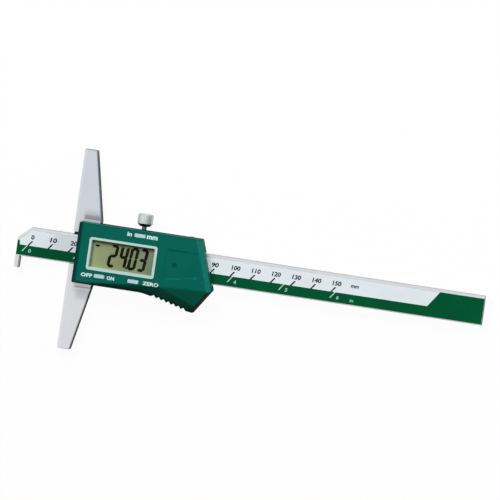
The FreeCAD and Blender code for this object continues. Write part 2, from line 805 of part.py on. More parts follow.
def make_lcd_holder():
    outer = box(*panel_limits(fit_gap + holder_wall), board_z, panel_z1)
    glass = box(*panel_limits(fit_gap), panel_z0, panel_z1 + 1)
    x0, x1, y0, y1 = panel_limits(fit_gap)
    room = box(x0 + holder_ledge, x1 - holder_ledge, y0, y1, board_z - 1, panel_z0 + 1)
    return outer.cut([glass, room]).removeSplitter()


def make_zebra_strips():
    """Rubber strips that connect the board with the panel's edges."""
    x0, x1, y0, y1 = panel_limits(0)
    x0 = board_start + fit_gap
    x1 = x1 - holder_ledge - fit_gap
    low = box(x0, x1, y0, y0 + strip_thick, board_z, panel_z0)
    high = box(x0, x1, y1 - strip_thick, y1, board_z, panel_z0)
    return Part.makeCompound([low, high])


# ---------------------------------------------------------------- circuit board
def board_screw_floor():
    return board_z - board_screw_length - fit_gap


def make_main_board():
    board = box(board_start, board_end, -frame_bottom + board_inset, frame_top - board_inset,
                rail_z, board_z)
    holes = [rod_z(x, y, board_screw_r + thread_gap, rail_z - 1, board_z + 1) for x, y in board_screws_at]
    return board.cut(holes)


def make_board_screws():
    return Part.makeCompound([screw_down(x, y, board_z, board_screw_r, board_screw_head_r,
                                         board_screw_head, board_screw_length)
                              for x, y in board_screws_at])


def make_controller_chip():
    x = (bezel_left + bezel_right) / 2
    y = (bezel_bottom + bezel_top) / 2
    half = chip_size / 2
    chip = rounded_box(x - half, x + half, y - half, y + half, board_z, board_z + chip_height, half / 3)
    top = [e for e in chip.Edges if abs(e.BoundBox.ZMin - board_z - chip_height) < 1e-6]
    return chip.makeFillet(chip_height / 3, top)


def make_key_contacts():
    """Sprung contact leaves, open in the middle where the stems push through."""
    leaves = []
    for x, y, length in button_places():
        leaf = box(x - contact_long / 2, x + contact_long / 2, y - contact_wide / 2, y + contact_wide / 2,
                   board_z, board_z + contact_thick)
        half_x = stem_long / 2 + fit_gap
        half_y = stem_wide / 2 + fit_gap
        leaves.append(leaf.cut(box(x - half_x, x + half_x, y - half_y, y + half_y,
                                   board_z - 1, board_z + 1)))
    return Part.makeCompound(leaves)


def button(x, y, length):
    """Button cap with the flange that keeps it in and the stem that works its contact."""
    half = button_height / 2
    cap = rounded_box(x - length / 2, x + length / 2, y - half, y + half,
                      wall_z - fit_gap, front_z + button_proud, button_corner)
    top = [e for e in cap.Edges if abs(e.BoundBox.ZMin - front_z - button_proud) < 1e-6]
    cap = cap.makeFillet(button_corner / 2, top)
    out = button_flange
    flange = box(x - length / 2 - out, x + length / 2 + out, y - half - out, y + half + out,
                 wall_z - fit_gap / 2 - button_flange_thick, wall_z - fit_gap / 2)
    stem = box(x - stem_long / 2, x + stem_long / 2, y - stem_wide / 2, y + stem_wide / 2,
               board_z + button_travel + fit_gap, wall_z - button_flange_thick)
    return cap.fuse([flange, stem]).removeSplitter()


def make_on_off_button():
    return button(*on_off_button_at)


def make_zero_button():
    return button(*zero_button_at)


def make_unit_button():
    return button(*unit_button_at)


# ---------------------------------------------------------------- battery
def make_battery_tray():
    reach = battery_r + battery_gap
    outer = box(battery_x - reach - tray_wall, battery_x + reach + tray_wall,
                battery_y - lid_half, battery_y + lid_half, tray_z0, tray_z1)
    pocket = rod_z(battery_x, battery_y, reach, leaf_z, tray_z1 + 1)
    left = battery_x - reach - tray_wall
    side = leaf_width / 2 + fit_gap
    side_slot = box(left - 1, battery_x - battery_r / 2, battery_y - side, battery_y + side,
                    tray_z0 - 1, tray_z1 + 1)
    low = low_leaf_y()
    low_slot = box(left - 1, battery_x, low - side, low + side,
                   tray_z0 - 1, leaf_z + contact_leaf + fit_gap)
    floor = box(battery_x - battery_r / 2, battery_x, low - side, low + side, tray_z0, leaf_z)
    return outer.cut([pocket, side_slot, low_slot]).fuse(floor).removeSplitter()


def low_leaf_y():
    return battery_y - leaf_width - 3 * fit_gap - fit_gap


def make_battery():
    low = battery_z + battery_step
    high = battery_z + battery_height
    edge = battery_step / 2
    profile = [(0, battery_z), (battery_cap_r, battery_z), (battery_cap_r, low), (battery_r, low + edge),
               (battery_r, high - edge), (battery_r - edge, high), (0, high)]
    points = [V(battery_x + d, battery_y, z) for d, z in profile]
    face = Part.Face(Part.makePolygon(points + points[:1]))
    return face.revolve(V(battery_x, battery_y, 0), V(0, 0, 1), 360)


def leaf(points, y):
    """Bent metal strip: a closed outline of (x, z) points, leaf_width wide."""
    corners = [V(x, y - leaf_width / 2, z) for x, z in points]
    return Part.Face(Part.makePolygon(corners + corners[:1])).extrude(V(0, leaf_width, 0))


def make_battery_contact_negative():
    """Runs from the board into the tray, under the battery."""
    t = contact_leaf
    x0 = board_end - leaf_foot
    x1 = board_end - fit_gap
    points = [(x0, board_z), (x1 + t, board_z), (x1 + t, leaf_z), (battery_x, leaf_z),
              (battery_x, leaf_z + t), (x1, leaf_z + t), (x1, board_z + t), (x0, board_z + t)]
    return leaf(points, low_leaf_y())


def make_battery_contact_positive():
    """Stands on the board and touches the battery's side."""
    t = contact_leaf
    x0 = board_end - leaf_foot
    x1 = battery_x - battery_r - fit_gap / 2
    top = battery_z + battery_height * 0.8
    return leaf([(x0, board_z), (x1, board_z), (x1, top), (x1 - t, top), (x1 - t, board_z + t),
                 (x0, board_z + t)], battery_y)


def make_battery_lid():
    x0 = lid_left + lid_gap
    half = lid_half - lid_gap
    rail = half + lid_rail_out
    inner = half - lid_rail_in
    plate = box(x0, FAR, battery_y - half, battery_y + half, lid_plate_z, front_z - lid_sunk)
    rails = [box(x0, FAR, battery_y + inner, battery_y + rail, lid_rail_z, lid_plate_z),
             box(x0, FAR, battery_y - rail, battery_y - inner, lid_rail_z, lid_plate_z),
             box(lid_thick_end, FAR, battery_y - rail, battery_y + rail, lid_rail_z, lid_plate_z)]
    blank = plate.fuse(rails).removeSplitter()
    ball_z = front_z - lid_sunk - dimple_depth + dimple_r
    dimple = Part.makeSphere(dimple_r, V(dimple_at[0], dimple_at[1], ball_z))
    return housing_outer().common(blank).cut(dimple)


# ---------------------------------------------------------------- write the nodes
NODES = {
    "base_frame": make_base_frame,
    "back_plate": make_back_plate,
    "gib": make_gib,
    "gib_screws": make_gib_screws,
    "lock_screw": make_lock_screw,
    "front_keeper": make_front_keeper,
    "rear_keeper": make_rear_keeper,
    "keeper_screws": make_keeper_screws,
    "beam": make_beam,
    "scale_board": make_scale_board,
    "scale_label": make_scale_label,
    "main_board": make_main_board,
    "board_screws": make_board_screws,
    "controller_chip": make_controller_chip,
    "key_contacts": make_key_contacts,
    "zebra_strips": make_zebra_strips,
    "lcd_holder": make_lcd_holder,
    "lcd_panel": make_lcd_panel,
    "lcd_window": make_lcd_window,
    "lcd_bezel": make_lcd_bezel,
    "on_off_button": make_on_off_button,
    "zero_button": make_zero_button,
    "unit_button": make_unit_button,
    "battery_tray": make_battery_tray,
    "battery": make_battery,
    "battery_contact_negative": make_battery_contact_negative,
    "battery_contact_positive": make_battery_contact_positive,
    "battery_lid": make_battery_lid,
    "housing_cover": make_housing_cover,
    "housing_screws": make_housing_screws,
}

os.makedirs("parts", exist_ok=True)
for name, make in NODES.items():
    shape = make()
    shape.exportStep("parts/" + name + ".step")
    print(name, "solids", len(shape.Solids), "valid", shape.isValid(), "volume", round(shape.Volume, 2))
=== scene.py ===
import bpy, bmesh, math
from mathutils import Matrix, Vector


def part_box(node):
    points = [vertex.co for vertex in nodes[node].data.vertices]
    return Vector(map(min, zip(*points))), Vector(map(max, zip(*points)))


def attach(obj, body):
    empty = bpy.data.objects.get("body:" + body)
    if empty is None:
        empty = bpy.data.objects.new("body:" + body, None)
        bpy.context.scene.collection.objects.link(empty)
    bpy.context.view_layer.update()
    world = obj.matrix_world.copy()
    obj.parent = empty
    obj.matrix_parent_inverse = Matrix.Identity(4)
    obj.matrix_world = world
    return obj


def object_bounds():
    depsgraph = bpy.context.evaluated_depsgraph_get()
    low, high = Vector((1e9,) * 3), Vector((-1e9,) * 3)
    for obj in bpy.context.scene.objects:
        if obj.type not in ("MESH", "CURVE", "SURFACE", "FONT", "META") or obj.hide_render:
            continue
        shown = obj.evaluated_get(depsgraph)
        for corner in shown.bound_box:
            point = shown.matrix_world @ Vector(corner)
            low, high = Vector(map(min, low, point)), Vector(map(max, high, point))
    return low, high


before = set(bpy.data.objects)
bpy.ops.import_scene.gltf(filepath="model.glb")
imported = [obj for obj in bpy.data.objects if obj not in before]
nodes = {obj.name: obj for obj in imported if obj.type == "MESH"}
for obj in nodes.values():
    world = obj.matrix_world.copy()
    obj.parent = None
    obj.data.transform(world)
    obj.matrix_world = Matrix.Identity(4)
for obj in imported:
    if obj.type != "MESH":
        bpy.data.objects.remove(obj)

cad_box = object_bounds()
MM = 0.001


def corners(node):
    """Lower and upper corner of a node's box, in millimetres."""
    low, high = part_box(node)
    return Vector(low) / MM, Vector(high) / MM


# Lengths are in millimetres unless said otherwise. X starts at the base's measuring face, and Y at the middle
# line of the slider's frame.
beam_low = corners("beam")[0]
label_low, label_high = corners("scale_label")
label_front = label_high.z
panel_low, panel_high = corners("lcd_panel")
housing_low, housing_high = corners("housing_cover")
bezel_low, bezel_high = corners("lcd_bezel")
bezel_proud = 0.2                       # in front of the housing
housing_front = bezel_high.z - bezel_proud

# Directions across the object, and the normals of its slanted sides.
RIGHT, LEFT, UP, DOWN, FRONT = (1, 0, 0), (-1, 0, 0), (0, 1, 0), (0, -1, 0), (0, 0, 1)
RIGHT_SIDE = (0.94, 0.33, 0)            # the housing's right side
TEETH_SIDE = (-0.2354, -0.9719, 0)      # the line of the teeth on the thumb rest
STEEP_SLOPE = (0.16, -0.99, 0)          # the slope above the teeth
UPPER_LEFT = (-0.5, 0.866, 0)           # the round at the housing's upper left
LOWER_WALL = (-0.1, -1, 0)
# Direction of the painted highlight line below the lid, and across it.
HIGHLIGHT_LINE = (0.988, 0.1555, 0)             # the soft line below the lid
ACROSS_HIGHLIGHT_LINE = (-0.1555, 0.988, 0)
WHITE = (1.0, 1.0, 1.0)


# ------------------------------------------------------------------ nodes
def new_material(name):
    mat = bpy.data.materials.new(name)
    mat.use_nodes = True
    return mat, mat.node_tree, principled(mat)


def principled(mat):
    return next(n for n in mat.node_tree.nodes if n.type == "BSDF_PRINCIPLED")


def link(tree, a, b):
    tree.links.new(a, b)


def set_or_link(tree, socket, value):
    """Feed a socket with a number, a colour or another node's output."""
    if isinstance(value, (int, float)):
        socket.default_value = value
    elif isinstance(value, tuple):
        socket.default_value = (*value, 1.0)
    else:
        link(tree, value, socket)


def math_node(tree, operation, a, b, clamp=False):
    node = tree.nodes.new("ShaderNodeMath")
    node.operation = operation
    node.use_clamp = clamp
    set_or_link(tree, node.inputs[0], a)
    set_or_link(tree, node.inputs[1], b)
    return node.outputs["Value"]


def map_range(tree, value, source, target):
    node = tree.nodes.new("ShaderNodeMapRange")
    node.inputs["From Min"].default_value, node.inputs["From Max"].default_value = source
    node.inputs["To Min"].default_value, node.inputs["To Max"].default_value = target
    link(tree, value, node.inputs["Value"])
    return node.outputs["Result"]


def mix_colour(tree, fac, a, b, blend="MIX"):
    node = tree.nodes.new("ShaderNodeMix")
    node.data_type = "RGBA"
    node.blend_type = blend
    factor, first, second = node.inputs[0], node.inputs[6], node.inputs[7]
    set_or_link(tree, factor, fac)
    set_or_link(tree, first, a)
    set_or_link(tree, second, b)
    return node.outputs[2]


def ramp(tree, fac, stops):
    """Colour ramp through stops, each (place, colour)."""
    node = tree.nodes.new("ShaderNodeValToRGB")
    elements = node.color_ramp.elements
    while len(elements) < len(stops):
        elements.new(0.5)
    for element, (place, colour) in zip(elements, stops):
        element.position = place
        element.color = (*colour, 1.0)
    link(tree, fac, node.inputs["Fac"])
    return node.outputs["Color"]


def stretched(tree, scale):
    """Object coordinates, stretched by scale."""
    where = tree.nodes.new("ShaderNodeTexCoord")
    mapping = tree.nodes.new("ShaderNodeMapping")
    mapping.inputs["Scale"].default_value = scale
    link(tree, where.outputs["Object"], mapping.inputs["Vector"])
    return mapping.outputs["Vector"]


def noise(tree, scale, detail=3.0, rough=0.55):
    """Noise whose scale along each axis is given per metre."""
    node = tree.nodes.new("ShaderNodeTexNoise")
    node.inputs["Scale"].default_value = 1.0
    node.inputs["Detail"].default_value = detail
    node.inputs["Roughness"].default_value = rough
    link(tree, stretched(tree, scale), node.inputs["Vector"])
    return node.outputs["Fac"]


def spread(tree, fac, low, high):
    """Widen a noise, which stays mostly within 0.3 to 0.7, to low and high."""
    return map_range(tree, fac, (0.3, 0.7), (low, high))


def project(tree, output, direction):
    """A texture coordinate's length along a direction."""
    where = tree.nodes.new("ShaderNodeTexCoord")
    dot = tree.nodes.new("ShaderNodeVectorMath")
    dot.operation = "DOT_PRODUCT"
    link(tree, where.outputs[output], dot.inputs[0])
    dot.inputs[1].default_value = Vector(direction).normalized()
    return dot.outputs["Value"]


def bump(tree, shader, fac, distance):
    node = tree.nodes.new("ShaderNodeBump")
    node.inputs["Strength"].default_value = 0.6
    node.inputs["Distance"].default_value = distance * MM
    link(tree, fac, node.inputs["Height"])
    link(tree, node.outputs["Normal"], shader.inputs["Normal"])


# ------------------------------------------------------------------ masks
# A mask is a function of a node tree. It gives a socket that is 1 where the mask holds and 0 elsewhere.
def upright(low=0.12, high=0.35):
    """Faces that stand upright, by how little their normal points to the front or the back."""
    def build(tree):
        where = tree.nodes.new("ShaderNodeTexCoord")
        split = tree.nodes.new("ShaderNodeSeparateXYZ")
        link(tree, where.outputs["Normal"], split.inputs[0])
        flat = math_node(tree, "ABSOLUTE", split.outputs["Z"], 0.0)
        return map_range(tree, flat, (low, high), (1.0, 0.0))
    return build


def facing(direction, low, high):
    """Grows from 0 to 1 as the surface turns towards a direction, low and high being cosines."""
    return lambda tree: map_range(tree, project(tree, "Normal", direction), (low, high), (0.0, 1.0))


def along(direction, low, high):
    """Grows from 0 to 1 between two distances along a direction; low may be the larger one."""
    return lambda tree: map_range(tree, project(tree, "Object", direction), (low * MM, high * MM), (0.0, 1.0))


def inside(axis, low, high):
    """Between two places along an axis, with hard edges."""
    def build(tree):
        split = tree.nodes.new("ShaderNodeSeparateXYZ")
        link(tree, stretched(tree, WHITE), split.inputs[0])
        above = math_node(tree, "GREATER_THAN", split.outputs[axis], low * MM)
        below = math_node(tree, "LESS_THAN", split.outputs[axis], high * MM)
        return math_node(tree, "MULTIPLY", above, below)
    return build


def spot(x, y, inner, outer):
    """Within the inner distance of a point of the front, fading out to the outer one."""
    def build(tree):
        away = tree.nodes.new("ShaderNodeVectorMath")
        away.operation = "DISTANCE"
        link(tree, stretched(tree, (1.0, 1.0, 0.0)), away.inputs[0])
        away.inputs[1].default_value = (x * MM, y * MM, 0.0)
        return map_range(tree, away.outputs["Value"], (inner * MM, outer * MM), (1.0, 0.0))
    return build


def all_of(first, *others):
    """Where all the masks hold."""
    def build(tree):
        result = first(tree)
        for other in others:
            result = math_node(tree, "MULTIPLY", result, other(tree))
        return result
    return build


def outside(mask):
    return lambda tree: math_node(tree, "SUBTRACT", 1.0, mask(tree))


def but(mask, *others):
    """Where the mask holds and none of the others does."""
    return all_of(mask, *(outside(other) for other in others))


# ------------------------------------------------------------------ tints
def tint(mat, colour):
    """Multiply a finished material's colour; colour is a function of its tree."""
    tree, socket = mat.node_tree, principled(mat).inputs["Base Color"]
    before = socket.links[0].from_socket
    link(tree, mix_colour(tree, 1.0, before, colour(tree), "MULTIPLY"), socket)


def shades(mask, *stops):
    """Greys that follow a mask from 0 to 1; each stop is (place, grey) or (place, colour)."""
    stops = [(place, value if isinstance(value, tuple) else (value,) * 3) for place, value in stops]
    return lambda tree: ramp(tree, mask(tree), stops)


def where_on(mask, colour):
    """The colour where the mask holds, and white elsewhere, which changes nothing."""
    return lambda tree: mix_colour(tree, mask(tree), WHITE, colour(tree) if callable(colour) else colour)


def scale_colour(mat, mask, factor):
    """Scale a finished material's colour by factor where the mask holds."""
    tint(mat, where_on(mask, (factor,) * 3))


def shade(colour, factor):
    return tuple(min(1.0, c * factor) for c in colour)


# ------------------------------------------------------------------ materials
def steel(name, colour, rough, way, side=1.0, grain=1.0):
    """Metal with fine ground lines along X or Y; side paints shade on upright faces by scaling their colour
    down.
    """
    mat, tree, shader = new_material(name)
    long, cross = 70.0, 5200.0
    lines = (long, cross, cross) if way == "X" else (cross, long, cross)
    fine = noise(tree, lines, 4.0, 0.6)
    cloud = noise(tree, (60.0, 60.0, 60.0), 3.0)
    ground = ramp(tree, fine, [(0.25, shade(colour, 0.93)), (0.75, shade(colour, 1.05))])
    clouded = ramp(tree, cloud, [(0.3, (0.955, 0.955, 0.965)), (0.7, WHITE)])
    surface = mix_colour(tree, 1.0, ground, clouded, "MULTIPLY")
    # Painted shade: upright faces get a darker copy of the colour.
    if side < 1.0:
        surface = mix_colour(tree, upright()(tree), surface, shade(colour, side))
    link(tree, surface, shader.inputs["Base Color"])
    link(tree, spread(tree, fine, rough - 0.05, rough + 0.07), shader.inputs["Roughness"])
    shader.inputs["Metallic"].default_value = 1.0
    bump(tree, shader, fine, 0.004 * grain)
    return mat


def plastic(name, colour, rough, grain=0.006, grain_scale=4200.0, vary=0.05, specular=0.4):
    """Moulded plastic or ink with a fine eroded grain and slight clouding."""
    mat, tree, shader = new_material(name)
    cloud = noise(tree, (90.0, 90.0, 90.0), 3.0)
    grains = noise(tree, (grain_scale,) * 3, 2.0, 0.5)
    clouded = ramp(tree, cloud, [(0.3, shade(colour, 1.0 - vary)), (0.7, shade(colour, 1.0 + vary))])
    specks = ramp(tree, grains, [(0.3, (0.94, 0.94, 0.94)), (0.7, WHITE)])
    link(tree, mix_colour(tree, 1.0, clouded, specks, "MULTIPLY"), shader.inputs["Base Color"])
    link(tree, spread(tree, grains, rough - 0.05, rough + 0.05), shader.inputs["Roughness"])
    shader.inputs["Specular IOR Level"].default_value = specular
    bump(tree, shader, grains, grain)
    return mat


def clear_window():
    """Clear acrylic: see-through from the front, more of a mirror the more it is seen at a slant."""
    mat = bpy.data.materials.new("clear_window")
    mat.use_nodes = True
    tree = mat.node_tree
    tree.nodes.clear()
    out = tree.nodes.new("ShaderNodeOutputMaterial")
    mix = tree.nodes.new("ShaderNodeMixShader")
    clear = tree.nodes.new("ShaderNodeBsdfTransparent")
    clear.inputs["Color"].default_value = (0.985, 0.99, 0.98, 1.0)
    gloss = tree.nodes.new("ShaderNodeBsdfPrincipled")
    gloss.inputs["Base Color"].default_value = (0.02, 0.02, 0.02, 1.0)
    gloss.inputs["Roughness"].default_value = 0.06
    slant = tree.nodes.new("ShaderNodeLayerWeight")
    slant.inputs["Blend"].default_value = 0.5
    head_on, at_rim, steepness = 0.035, 0.92, 5.0
    share = math_node(tree, "POWER", slant.outputs["Facing"], steepness)
    share = math_node(tree, "ADD", math_node(tree, "MULTIPLY", share, at_rim), head_on)
    smear = spread(tree, noise(tree, (160.0, 160.0, 160.0), 2.0), 0.85, 1.15)
    link(tree, math_node(tree, "MULTIPLY", share, smear, True), mix.inputs[0])
    link(tree, clear.outputs[0], mix.inputs[1])
    link(tree, gloss.outputs[0], mix.inputs[2])
    link(tree, mix.outputs[0], out.inputs["Surface"])
    return mat


# The base's upright faces carry painted shade through side.
base_steel = steel("ground_steel", (0.724, 0.762, 0.813), 0.36, "Y", side=0.75)
beam_steel = steel("beam_steel", (0.76, 0.772, 0.795), 0.32, "X")
screw_steel = steel("screw_steel", (0.50, 0.50, 0.52), 0.24, "X", grain=0.3)
knurled_steel = steel("knurled_steel", (0.93, 0.98, 0.98), 0.42, "X", grain=0.3)
spring_steel = steel("spring_steel", (0.45, 0.46, 0.48), 0.30, "Y", grain=0.5)
plate_alloy = steel("plate_alloy", (0.52, 0.53, 0.54), 0.38, "X")
gib_brass = steel("gib_brass", (0.66, 0.46, 0.20), 0.30, "X", grain=0.6)
nickel = steel("nickel", (0.52, 0.49, 0.45), 0.28, "X", grain=0.4)
cell_steel = steel("cell_steel", (0.54, 0.54, 0.53), 0.22, "X", grain=0.3)

housing_green = (0.0028, 0.122, 0.092)
green = plastic("green_plastic", housing_green, 0.46, grain=0.010, specular=0.05)
lid_green = plastic("lid_green_plastic", housing_green, 0.46, grain=0.010, specular=0.05)
black = plastic("black_plastic", (0.018, 0.018, 0.019), 0.45)
chip_black = plastic("chip_black", (0.012, 0.012, 0.013), 0.35)
bezel_white = plastic("bezel_white", (0.52, 0.70, 0.66), 0.22, grain=0.002, vary=0.02, specular=0.3)
button_grey = plastic("button_grey", (0.49, 0.66, 0.69), 0.26, grain=0.002, vary=0.03, specular=0.3)
rubber = plastic("layered_rubber", (0.16, 0.16, 0.17), 0.75, specular=0.2)
board = plastic("circuit_board", (0.012, 0.13, 0.05), 0.30, grain=0.004, grain_scale=1500.0, vary=0.15)
film_white = plastic("film_white", (0.80, 0.87, 0.91), 0.28, grain=0.002, vary=0.02, specular=0.2)
film_green = plastic("film_green", (0.0010, 0.089, 0.031), 0.30, grain=0.002, vary=0.10, specular=0.03)
ink_dark = plastic("ink_dark", (0.020, 0.024, 0.050), 0.35, grain=0.001, vary=0.10, specular=0.1)
ink_mint = plastic("ink_mint", (0.48, 0.72, 0.62), 0.35, grain=0.001, vary=0.05, specular=0.1)
ink_white = plastic("ink_white", (0.72, 0.90, 0.88), 0.38, grain=0.001, vary=0.04, specular=0.1)
lcd_face = plastic("lcd_face", (0.95, 0.95, 0.95), 0.45, grain=0.001, grain_scale=2600.0, vary=0.05,
                   specular=0.2)
lcd_dark = plastic("lcd_segments", (0.004, 0.007, 0.002), 0.45, grain=0.001, vary=0.10, specular=0.05)
window = clear_window()


def shade_base():
    """Painted shade in the channel, in the coves and on the right walls, painted highlights on the lower
    bevels and left-facing sides, a lighter lower arm, and painted shadows beside the pads of the base.
    """
    pad_height = 2.0
    upper_end, lower_end = 15.4, 17.4       # the raised pads reach this far up and down
    far = 100.0                             # beyond the arms' ends
    pad_front = corners("base_frame")[1].z
    arm_front = pad_front - pad_height
    cove = inside("Z", arm_front + 0.05, pad_front - 0.05)
    cove_foot = inside("Z", arm_front - 0.7, arm_front + 0.05)
    # Painted shade: the channel under the beam is painted nearly black.
    channel = all_of(inside("Y", -7.35, 8.5), inside("Z", -1.0, 2.7))
    scale_colour(base_steel, channel, 0.05)
    # Painted shade: the coves' upward faces and their feet are painted darker.
    scale_colour(base_steel, all_of(facing(UP, 0.05, 0.3), cove), 0.75)
    scale_colour(base_steel, all_of(facing(UP, 0.05, 0.3), cove_foot), 0.85)
    # Painted highlight: the bevels facing down are painted lighter.
    lower_bevel = inside("Z", arm_front - 0.7, pad_front - 0.05)
    scale_colour(base_steel, all_of(facing(DOWN, 0.05, 0.3), lower_bevel), 1.6)
    # Painted light: faces turned to the left are painted lighter.
    scale_colour(base_steel, facing(LEFT, 0.3, 0.5), 1.18)
    # Painted shade: the right walls are painted dark, and less dark low on the lower arm.
    right_walls = all_of(upright(0.35, 0.60), facing(RIGHT, 0.2, 0.5))
    scale_colour(base_steel, right_walls, 0.22)
    scale_colour(base_steel, all_of(right_walls, along(DOWN, lower_end - 2.4, lower_end - 0.4)), 1.7)

    # The lower arm is painted a little lighter and warmer than the upper one: painted light.
    lower_arm, upper_arm = (1.057, 1.018, 0.98), (0.955, 0.96, 0.97)
    tint(base_steel, shades(along(UP, -10.0, 10.0), (0.0, lower_arm), (1.0, upper_arm)))

    # Both arms carry painted shadows beside the pads, which fade towards their ends.
    above_pad = all_of(along(UP, upper_end + 0.6, upper_end + 0.7), along(RIGHT, 3.5, 5.5))
    tint(base_steel, where_on(above_pad, shades(
        along(UP, upper_end + 1.6, upper_end + 5.6),
        (0.0, 0.60), (0.15, 0.74), (0.30, 0.82), (0.55, 0.90), (1.0, 1.0))))
    at_pad = all_of(inside("Y", -far, 1.4 - lower_end), along(RIGHT, 3.0, 5.0),
                    along(DOWN, lower_end + 4.1, lower_end + 1.1))
    scale_colour(base_steel, at_pad, 0.72)
    below_pad = all_of(along(DOWN, lower_end + 0.6, lower_end + 1.6), along(RIGHT, 4.2, 6.8))
    tint(base_steel, where_on(below_pad, shades(
        along(DOWN, lower_end + 2.6, lower_end + 8.1),
        (0.0, 0.80), (0.25, 0.74), (0.50, 0.80), (0.80, 0.95), (1.0, 1.0))))


def shade_beam_and_lock():
    """Painted shade on the hook's back edge, on the lock screw's neck, the cone under its head and its right
    side.
    """
    hook_thick, beam_foot = 2.5, -7.3
    hook_face = beam_low.x + hook_thick
    # Painted shade on the hook's back edge.
    hook_back = all_of(inside("Y", beam_low.y - 1.0, beam_foot),
                       inside("X", hook_face - 0.77, hook_face + 0.13))
    scale_colour(beam_steel, hook_back, 0.45)
    knurled_length = 4.7
    neck_end = corners("lock_screw")[1].y - knurled_length
    # Painted shade on the lock screw's neck and the cone under its head.
    scale_colour(knurled_steel, inside("Y", 0.0, neck_end), 0.22)
    # Painted shade on the lock screw's right side.
    scale_colour(knurled_steel, facing(RIGHT, 0.35, 0.8), 0.77)


def shade_housing():
    """Painted shade on the walls, rounds, slopes and rims of the housing without its lid."""
    right_side = facing(RIGHT_SIDE, 0.90, 0.97)
    lid_hole = all_of(inside("X", 47.0, 72.0), inside("Y", -7.0, 6.0))
    # Painted shade: upright walls are painted nearly black, except the right side and around the lid.
    scale_colour(green, but(upright(0.12, 0.45), right_side, lid_hole), 0.09)
    # Walls facing up, down and to the left get less of that painted shade.
    scale_colour(green, facing(UP, 0.80, 0.95), 4.0)
    scale_colour(green, facing(LOWER_WALL, 0.93, 0.98), 6.0)
    scale_colour(green, facing(LEFT, 0.93, 0.98), 5.0)

    # The rounds at the left and at the top are painted dark: painted shade.
    left, top = housing_low.x, housing_high.y
    scale_colour(green, all_of(facing(LEFT, 0.05, 0.6), along(RIGHT, left + 2.6, left + 2.1)), 0.55)
    scale_colour(green, along(RIGHT, left + 2.8, left + 1.8), 0.54)
    scale_colour(green, all_of(facing(UPPER_LEFT, 0.05, 0.5), along(UP, top - 3.5, top - 3.0)), 0.75)
    scale_colour(green, along(UP, top - 1.3, top - 0.5), 0.80)

    # The slopes below the front are painted a deeper green, darker towards the teeth, and their rims nearly
    # black: painted shade.
    slope_shade_tint = (0.9, 1.0, 0.80)
    thumb_x = 37.5                  # the thumb rest starts here
    tint(green, where_on(facing(DOWN, 0.15, 0.40), slope_shade_tint))
    left_rim = all_of(facing(DOWN, 0.52, 0.66), inside("X", 17.0, thumb_x), along(UP, -13.8, -15.0))
    scale_colour(green, left_rim, 0.28)
    thumb_slope = all_of(facing(STEEP_SLOPE, 0.52, 0.66), along(RIGHT, thumb_x - 1.0, thumb_x + 1.0))
    teeth_line, slope_reach = 6.67, 6.0     # the line's distance along its normal, and the slope's depth
    tint(green, where_on(thumb_slope, shades(
        along(TEETH_SIDE, teeth_line - slope_reach, teeth_line),
        (0.11, 1.15), (0.28, 0.95), (0.53, 0.82), (0.70, 0.70), (0.78, 0.40), (0.84, 0.20))))
    # Painted shade: the down-facing rims are painted dark.
    scale_colour(green, all_of(facing(DOWN, 0.1, 0.2), facing(FRONT, 0.62, 0.45)), 0.35)


def shade_right_part(mat):
    """A painted highlight on the bevel at the right and painted shade on the steep side beyond it, a painted
    glow by the bevel, a painted shade line above the lid, a painted highlight line below it and a painted
    glint.
    """
    # Painted highlight on the bevel at the right.
    scale_colour(mat, facing(RIGHT_SIDE, 0.5, 0.8), 1.6)
    # Painted shade on the steep right side.
    scale_colour(mat, facing(RIGHT_SIDE, 0.90, 0.97), 0.62)
    # Painted highlight: a glow along the bevel's inner edge.
    scale_colour(mat, all_of(along(RIGHT_SIDE, 60.8, 62.4), facing(FRONT, 0.8, 0.9)), 1.12)
    # Painted shade: a dark soft line above the lid.
    above_lid = all_of(along(RIGHT, 47.8, 49.2), along(RIGHT, 59.2, 57.5),
                     along(UP, 6.3, 6.8), along(UP, 7.6, 7.0))
    scale_colour(mat, above_lid, 0.68)
    # Painted highlight: a soft light line below the lid.
    below_lid = all_of(along(HIGHLIGHT_LINE, 46.5, 48.5), along(HIGHLIGHT_LINE, 62.8, 61.5),
                     along(ACROSS_HIGHLIGHT_LINE, -15.5, -15.0), along(ACROSS_HIGHLIGHT_LINE, -14.3, -14.8))
    scale_colour(mat, below_lid, 1.35)
    # Painted glint at the lid's lower right.
    glint_x, glint_y = 63.7, -5.07
    scale_colour(mat, spot(glint_x, glint_y, 0.4, 1.3), 1.4)


def shade_display():
    """The display's glass has its own khaki colour, painted lighter and warmer at the left and darker at the
    right, and a painted shadow of its rim at the left and the top.
    """
    ring_and_flange = 2.0
    opening_left, opening_top = bezel_low.x + ring_and_flange, bezel_high.y - ring_and_flange
    # The display's own colour, with painted light: lighter at the left, darker at the right.
    left_tint, middle_tint, right_tint = (0.415, 0.466, 0.252), (0.309, 0.342, 0.168), (0.273, 0.330, 0.232)
    tint(lcd_face, shades(along(RIGHT, panel_low.x + 0.1, panel_high.x - 0.2),
                          (0.0, left_tint), (0.5, middle_tint), (1.0, right_tint)))
    # Painted shadow of the rim at the left and the top.
    scale_colour(lcd_face, along(RIGHT, opening_left + 1.3, opening_left), 0.45)
    scale_colour(lcd_face, along(UP, opening_top - 0.7, opening_top), 0.5)


shade_base()
shade_beam_and_lock()
shade_housing()
shade_right_part(green)
shade_right_part(lid_green)
# Painted shade: the dimple in the lid is painted darker.
dimple_x, dimple_y = 52.5, -0.65
scale_colour(lid_green, spot(dimple_x, dimple_y, 0.6, 1.8), 0.60)
shade_display()

